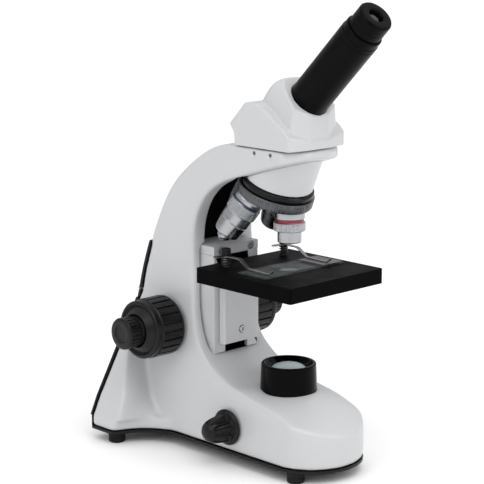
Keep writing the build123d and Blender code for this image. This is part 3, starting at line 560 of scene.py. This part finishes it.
# %% Objectives
OBJECTIVES = {
    "4x": (0, [(10.2, 44.0), (10.3, 47.2), (10.4, 47.6), (10.4, 50.5), (10.0, 50.8), (9.8, 51.0), (9.8, 51.4),
               (9.8, 52.4), (9.8, 53.0), (10.5, 53.1), (10.9, 53.5), (10.9, 58.8), (10.5, 59.2), (8.3, 59.4),
               (8.2, 59.8), (8.2, 66.7),
               (7.8, 67.3), (6.2, 67.5), (5.2, 67.9), (4.4, 68.0), (3.8, 67.4), (3.7, 66.4)],
           (53.6, 58.7), (51.1, 52.9)),
    "40x": (120, [(10.0, 44.0), (10.3, 47.2), (10.6, 47.6), (10.6, 50.0), (10.1, 50.2), (10.1, 51.2), (10.1, 51.4),
                  (10.8, 51.6), (11.1, 52.0), (11.1, 59.2), (10.8, 59.7), (10.4, 60.0), (10.4, 66.0), (10.0, 66.2),
                  (10.0, 66.8),
                  (10.4, 67.0), (9.0, 76.0), (8.6, 76.8), (7.8, 77.5), (5.6, 77.6), (5.1, 77.2), (5.1, 76.0)],
            (52.1, 59.1), (50.15, 51.25)),
    "10x": (240, [(10.0, 44.0), (10.3, 47.2), (10.6, 47.6), (10.6, 50.4), (9.9, 50.7), (9.9, 52.0), (10.7, 52.2),
                  (11.0, 52.6), (11.0, 58.6), (10.6, 59.2), (10.4, 59.4), (10.3, 70.0), (10.1, 73.4), (9.6, 74.2),
                  (8.8, 74.7), (6.8, 75.1), (6.4, 75.6), (5.8, 77.4), (5.2, 77.8), (3.4, 77.8), (2.7, 76.8)],
            (52.7, 58.5), (50.65, 52.05))}
for power, (turn_degrees, outline, band, ring) in OBJECTIVES.items():
    line = axis_frame(APEX, objective_direction(turn_degrees))
    body = turned("barrel_" + power, outline, 216)
    ribs(body, band[0], band[1], count=72, wide=1, of=3, depth_mm=0.22, inset_mm=0.03)
    placed(chamfer(body, 0.12, 1), line)
    hand_over(body, "objective_" + power, CHROMES[power])
    paint_band(body, line, ring[0], ring[1], RING_PAINTS[power])

FRONT_LENS = [(3.6, 66.3), (3.5, 66.8), (2.4, 67.2), (0.9, 67.4)]
front_lens = chamfer(turned("front_lens_4x", FRONT_LENS, 72), 0.1, 1)
placed(front_lens, axis_frame(APEX, objective_direction(0)))
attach(front_lens, "nosepiece")
dress(front_lens, COATED_GLASS)
SPRUNG_NOSE = [(5.0, 70.0), (5.0, 79.6), (4.8, 80.3), (4.1, 81.2), (2.6, 82.7), (2.1, 82.9), (1.5, 82.8),
               (1.3, 82.4)]
nose = chamfer(turned("sprung_nose", SPRUNG_NOSE, 72), 0.1, 1)
hand_over(placed(nose, axis_frame(APEX, objective_direction(120))), "objective_tip", CHROMES["40x"])

# %% [markdown]
# The lamp is a black collar round a ground-glass dome. A sloping inner face, with a ring of small
# notches for the assembly tool, holds the glass.

# %% Lamp
COLLAR = [(19.0, -90.0), (19.9, -89.4), (19.8, -86.0), (19.05, -67.6), (18.9, -66.9), (18.3, -66.4), (17.0, -66.35),
          (16.5, -66.7), (15.9, -67.3), (13.0, -69.4), (12.5, -69.6), (12.3, -70.2), (12.2, -72.0)]
collar = turned("lamp_collar", COLLAR, 144)
pick_faces(collar, lambda face, turn: -69.0 * MM < face.center.z < -67.4 * MM and int(turn * 144) % 8 < 2
           and math.hypot(face.center.x, face.center.y) < 15.8 * MM)
bpy.ops.mesh.inset(thickness=0.12 * MM, depth=-0.5 * MM, use_even_offset=True)
bpy.ops.object.mode_set(mode="OBJECT")
hand_over(placed(chamfer(collar, 0.2), LAMP), "lamp_housing", LAMP_ABS)
glass = turned("lamp_dome", [(12.1, -72.0), (12.1, -70.7), (11.6, -69.9), (10.4, -69.0), (8.4, -68.1), (6.0, -67.5),
                             (3.2, -67.1), (1.0, -67.0)], 96)
only(glass)
bpy.ops.object.shade_smooth()
hand_over(placed(glass, LAMP), "lamp_lens", GROUND_GLASS)

# %% [markdown]
# A clip is a strip of spring steel: it is stamped flat, then bent down to the slide and up again at
# its free end. The front edge of a flat disc is extruded from bend to bend, given its thickness, and
# rounded. Under it a coil spring pushes it up: a ring of wire swept up a screw.

# %% Stage clips and springs
POSTS = {"left": Vector((-28.0, 33.0, 0.0)), "right": Vector((28.0, 33.0, 0.0))}
STRIP_Z = 7.35
STRIP_THICK = 0.5
EYE_Y = -3.2
EYE_WIDTH = 4.2
BENDS = [(-13.5, 7.4, 3.4), (-15.5, 6.9, 3.2), (-20.0, 4.4, 2.9), (-22.6, 2.8, 2.7), (-24.6, 2.1, 2.6),
         (-34.0, 1.85, 2.5), (-43.5, 1.85, 2.4), (-45.6, 2.3, 2.3), (-47.2, 3.4, 2.2), (-48.4, 4.9, 1.9)]


def clip_strip(name, post):
    """Extrudes a strip from its eye towards the slide, then gives it its thickness."""
    bpy.ops.object.select_all(action="DESELECT")
    bpy.ops.mesh.primitive_circle_add(vertices=48, radius=3.4 * MM, fill_type="NGON",
                                      location=(0.0, 0.0, STRIP_Z * MM))
    piece = bpy.context.object
    piece.name = name
    bpy.ops.object.transform_apply(location=True, rotation=False, scale=False)
    only(piece)
    for vertex in piece.data.vertices:
        vertex.select = False
    for edge in piece.data.edges:
        a, b = (piece.data.vertices[k].co for k in edge.vertices)
        edge.select = (a.y + b.y) / 2 < -2.6 * MM
    for face in piece.data.polygons:
        face.select = False
    bpy.ops.object.mode_set(mode="EDIT")
    bpy.ops.mesh.select_mode(type="EDGE")
    here, height, width = EYE_Y, STRIP_Z, EYE_WIDTH
    for y, z, wide in BENDS:
        bpy.ops.mesh.extrude_region_move(
            TRANSFORM_OT_translate={"value": (0.0, (y - here) * MM, (z - height) * MM)})
        # the first bend straightens the curved edge that it starts from
        flatten = 0.05 if here == EYE_Y else 1.0
        bpy.ops.transform.resize(value=(wide / width, flatten, 1.0), center_override=(0.0, y * MM, z * MM))
        here, height, width = y, z, wide
    bpy.ops.object.mode_set(mode="OBJECT")
    apply_modifier(piece, "SOLIDIFY", thickness=STRIP_THICK * MM, offset=1.0)
    tail = turned(name + "_tail", [(2.3, STRIP_Z), (2.3, STRIP_Z + STRIP_THICK)], 48)
    for vertex in tail.data.vertices:
        vertex.co.x = min(vertex.co.x * 0.95, 1.8 * MM) - 8.6 * MM * (vertex.co.x < 0)
    only(piece)
    tail.select_set(True)
    bpy.ops.object.join()
    chamfer(piece, 0.14, 2)
    placed(piece, Matrix.Translation((HOME + post) * MM) @ Matrix.Rotation(math.radians(-3.5), 4, "Z"))
    return piece


for side, post in POSTS.items():
    hand_over(clip_strip("clip_strip_" + side, post), "clip_" + side, STEEL)


def coil_spring(name, post, low, high, radius, wire, turns):
    """Sweeps a small ring of wire up a screw with the Screw modifier."""
    bpy.ops.object.select_all(action="DESELECT")
    bpy.ops.mesh.primitive_circle_add(vertices=10, radius=wire * MM, location=(radius * MM, 0.0, low * MM),
                                      rotation=(math.pi / 2, 0.0, 0.0))
    piece = bpy.context.object
    piece.name = name
    bpy.ops.object.transform_apply(location=True, rotation=True, scale=True)
    apply_modifier(piece, "SCREW", angle=math.tau * turns, screw_offset=(high - low) * MM, steps=int(32 * turns),
                   render_steps=int(32 * turns), use_merge_vertices=False)
    bpy.ops.object.mode_set(mode="EDIT")
    bpy.ops.mesh.select_all(action="SELECT")
    bpy.ops.mesh.remove_doubles(threshold=0.001 * MM)
    bpy.ops.mesh.fill_holes(sides=12)
    bpy.ops.mesh.select_all(action="SELECT")
    bpy.ops.mesh.normals_make_consistent(inside=False)
    bpy.ops.object.mode_set(mode="OBJECT")
    bpy.ops.object.shade_smooth_by_angle(angle=math.radians(50.0))
    return placed(piece, Matrix.Translation((HOME + post) * MM))


for side, post in POSTS.items():
    coil = coil_spring("clip_coil_" + side, post, low=0.5, high=6.7, radius=2.75, wire=0.42, turns=4.0)
    hand_over(coil, "clip_springs", SPRING_STEEL)

# %% [markdown]
# The left clip is held by a small ribbed thumb nut, and the right one by a low screw.

# %% Thumb nut
nut = turned("thumb_nut", [(3.2, 7.95), (3.4, 8.2), (3.4, 12.2), (3.1, 12.7), (2.5, 12.9), (1.2, 12.9)], 96)
ribs(nut, 8.2, 12.2, count=12, wide=3, of=8, depth_mm=0.4, inset_mm=0.06)
chamfer(nut, 0.12)
hand_over(placed(nut, Matrix.Translation((HOME + POSTS["left"]) * MM)), "clip_knob", KNOB_ABS)

# %% [markdown]
# The specimen is a glass slide, 76 by 26 millimetres, with a square cover slip in the middle. One
# end is ground for a pencil note. The ground face is a separate film, a few hundredths of a
# millimetre thick, because it needs its own finish on a part of one face only.

# %% Slide
slide = merged_copy("glass_slide", "specimen_slide")
chamfer(slide, 0.12, 1)
hand_over(slide, "glass_slide", CLEAR_GLASS)

GROUND_LENGTH, GROUND_WIDTH, GROUND_FILM = 18.5 * MM, 24.5 * MM, 0.04 * MM
GROUND_FROM_END, GROUND_LIFT = 10.0 * MM, 0.01 * MM
slide_low, slide_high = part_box("glass_slide")
bpy.ops.object.select_all(action="DESELECT")
bpy.ops.mesh.primitive_cube_add(size=1.0)
label = bpy.context.object
label.name = "slide_ground_end"
label.scale = (GROUND_LENGTH, GROUND_WIDTH, GROUND_FILM)
label.location = (slide_high.x - GROUND_FROM_END, (slide_low.y + slide_high.y) / 2, slide_high.z + GROUND_LIFT)
bpy.ops.object.transform_apply(location=True, rotation=True, scale=True)
bpy.ops.object.mode_set(mode="EDIT")
bpy.ops.mesh.select_all(action="SELECT")
bpy.ops.mesh.subdivide(number_cuts=2)
bpy.ops.object.mode_set(mode="OBJECT")
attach(label, "specimen")
dress(label, LABEL_GLASS)
dress(NODES["cover_slip"], CLEAR_GLASS)

# %% [markdown]
# Screws show as small bright heads with a socket for a key. Each is turned like the knobs, and its
# socket is left round, because the flats of a hexagon this small wouldn't show. The two screws in
# the arm's side are blackened, and their matt black is also painted shade for the deep holes they sit in.
# The pin in the power socket is turned in the same way.

# %% Screws
def socket_screw(name, centre_mm, direction, head_r, head_h, socket_r):
    """A screw head whose top face is at the given centre and faces along direction."""
    head = turned(name, [(head_r * 0.98, -head_h), (head_r, -head_h + 0.2), (head_r, -0.25), (head_r * 0.93, 0.0),
                         (socket_r * 1.12, 0.0), (socket_r, -0.12), (socket_r, -head_h * 0.6)], 36)
    line = axis_frame(centre_mm, direction)
    return placed(chamfer(head, 0.08, 1), line)


hand_over(socket_screw("bracket_screw_head", HOME + Vector((0.0, 45.75, -51.5)), (0.0, -1.0, 0.0), 2.6, 1.3, 1.25),
          "bracket_screw", ZINC)
for x in (-14.2, 14.2):
    hand_over(socket_screw("guide_screw_head", HOME + Vector((x, 52.4, 6.2)), (0.0, -1.0, 0.0), 2.5, 1.4, 1.2),
              "guide_screws", ZINC)
# the arm's screws are blackened, and their matt black also stands in as painted shade for their deep holes
dress(NODES["arm_screws"], MATT_BLACK)
pin = turned("inlet_pin", [(0.9, 124.2), (1.0, 124.6), (1.0, 132.2), (0.8, 132.8), (0.4, 133.0)], 32)
placed(chamfer(pin, 0.06, 1), axis_frame(HOME + Vector((18.0, 0.0, -112.0)), (0.0, 1.0, 0.0)))
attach(pin, "stand")
dress(pin, STEEL)

# %% [markdown]
# Behind the guide, the faces inside the channel are painted matt black as painted shade, so the slot under the
# stage's knee reads as a dark gap.

# %% Painted shade inside the guide channel
def paint_channel_shade(piece, x_half, y0, y1, z0, z1):
    """Gives the faces inside a box, measured from the stage's centre, matt black as painted shade."""
    piece.data.materials.append(MATT_BLACK)
    last = len(piece.data.materials) - 1
    count = 0
    for face in piece.data.polygons:
        x, y, z = face.center / MM - HOME
        if abs(x) < x_half and y0 < y < y1 and z0 < z < z1:
            face.material_index = last
            count += 1
    print(piece.name, "primer faces", count)


# painted shade: the faces inside the guide channel are made matt black so that the slot reads dark
paint_channel_shade(bpy.data.objects["stand_shell"], 21.3, 53.0, 84.0, -68.5, 3.0)
paint_channel_shade(bpy.data.objects["guide_body"], 17.6, 54.0, 81.0, -66.9, 5.0)

# %% [markdown]
# The feet are moulded rubber pegs with a rounded rim.

# %% Feet
FOOT = [(5.0, -137.5), (5.7, -137.2), (6.0, -136.5), (6.0, -134.4), (5.6, -134.0), (5.6, -133.4), (6.0, -133.0),
        (6.0, -129.85)]
for number, (x, y) in enumerate(((-27.5, -34.0), (27.5, -34.0), (-58.0, 116.0), (58.0, 116.0))):
    foot = turned("rubber_foot_%d" % number, FOOT, 64)
    placed(chamfer(foot, 0.15), Matrix.Translation((HOME + Vector((x, y, 0.0))) * MM))
    hand_over(foot, "feet", RUBBER)
print("feet", number + 1)

# %% [markdown]
# The microscope stands on pale paper in an even studio: a bright dome overhead that darkens towards
# the horizon, a broad sun from the front left, and two softboxes at a low angle. The camera has a
# long lens, so there is little perspective, and it looks slightly down on the stage.

# %% Camera, light and floor
scene = bpy.context.scene
camera = bpy.data.objects.new("camera", bpy.data.cameras.new("camera"))
camera.location = (-0.80385, -0.81016, 0.38914)
camera.rotation_euler = (math.radians(78.24), 0.0, math.radians(-44.08))
camera.data.sensor_width = 36.0
camera.data.lens = 125.7
scene.collection.objects.link(camera)
scene.camera = camera


def area_light(name, place, target, size, power):
    """A square softbox at a place, facing a target."""
    light = bpy.data.objects.new(name, bpy.data.lights.new(name, "AREA"))
    light.data.size = size
    light.data.energy = power
    light.location = place
    light.rotation_euler = (Vector(target) - Vector(place)).to_track_quat("-Z", "Y").to_euler()
    scene.collection.objects.link(light)


area_light("side_softbox", (-1.3, -0.2, 0.9), (0, 0, 0.10), 0.9, 3.9)
area_light("front_softbox", (0.5, -1.3, 0.7), (0, 0, 0.10), 0.7, 3.4)
sun = bpy.data.objects.new("key_sun", bpy.data.lights.new("key_sun", "SUN"))
sun.data.energy = 0.62
sun.data.angle = math.radians(35.0)
sun.rotation_euler = Vector((0.25, 0.55, -1.0)).to_track_quat("-Z", "Y").to_euler()
scene.collection.objects.link(sun)
world = bpy.data.worlds.new("studio")
scene.world = world
world.use_nodes = True
sky = world.node_tree
height = add(sky, "ShaderNodeSeparateXYZ", {"Vector": add(sky, "ShaderNodeTexCoord").outputs["Generated"]})
glow = add(sky, "ShaderNodeMapRange", {"Value": height.outputs["Z"], "From Min": 0.0, "From Max": 0.75,
                                       "To Min": 0.38, "To Max": 1.05})
sky.links.new(glow.outputs["Result"], sky.nodes["Background"].inputs["Strength"])
sky.nodes["Background"].inputs["Color"].default_value = (1.0, 1.0, 1.0, 1.0)
bpy.ops.object.select_all(action="DESELECT")
bpy.ops.mesh.primitive_circle_add(vertices=96, radius=14.0, fill_type="NGON")
floor = bpy.context.object
floor.name = "floor"
floor.data.materials.append(finish("pale_paper", "#FCFCFC", 0.9, 4.0, 0.01, 0.002, 0.03, Specular_IOR_Level=0.1))
scene.view_settings.view_transform = "Standard"
print("camera at", [round(v, 3) for v in camera.location])
